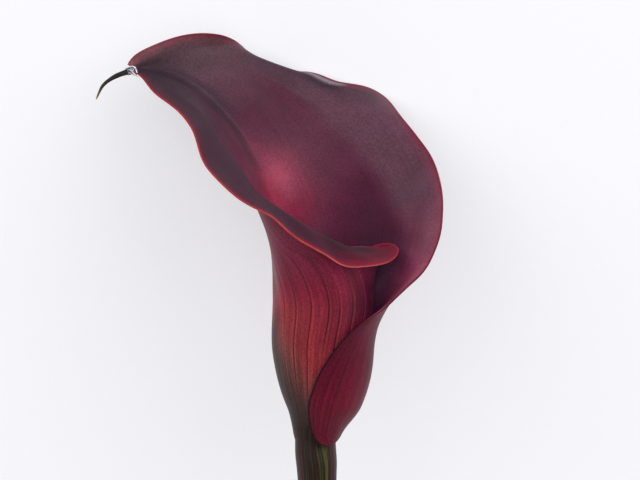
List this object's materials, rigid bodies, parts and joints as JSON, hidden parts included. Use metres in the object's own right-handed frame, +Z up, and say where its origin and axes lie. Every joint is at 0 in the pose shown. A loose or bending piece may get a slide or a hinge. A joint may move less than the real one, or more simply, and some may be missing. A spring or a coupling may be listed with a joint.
{
  "type": "calla lily flower",
  "caption": "Single cut calla lily bloom: a dark red spathe wrapped into a flaring funnel with a rolled lip and a thin dry tail, round a floret-covered spadix, on a bent stalk, lying flat.",
  "frame": {"origin": "middle of the footprint on the surface that the cut flower lies on", "axes": "+Y along the flower from the cut end of the stalk to the bloom, +Z up, towards the viewer who looks down into the bloom, +X to the viewer's right"},
  "size_m": [0.0886, 0.2258, 0.0583],
  "materials": {
    "spathe": "satin petal skin, wine red outside with darker veins, plum inside, orange-red margin",
    "spadix_green": "matt green-cream florets",
    "spadix_yellow": "matt golden florets dusted with pollen",
    "scape": "satin stalk skin, dark olive flushed with red-brown streaks"
  },
  "bodies": {
    "root": {"spathe": "spathe", "spadix_pistillate": "spadix_green", "spadix_staminate": "spadix_yellow", "scape": "scape"}
  },
  "joints": []
}
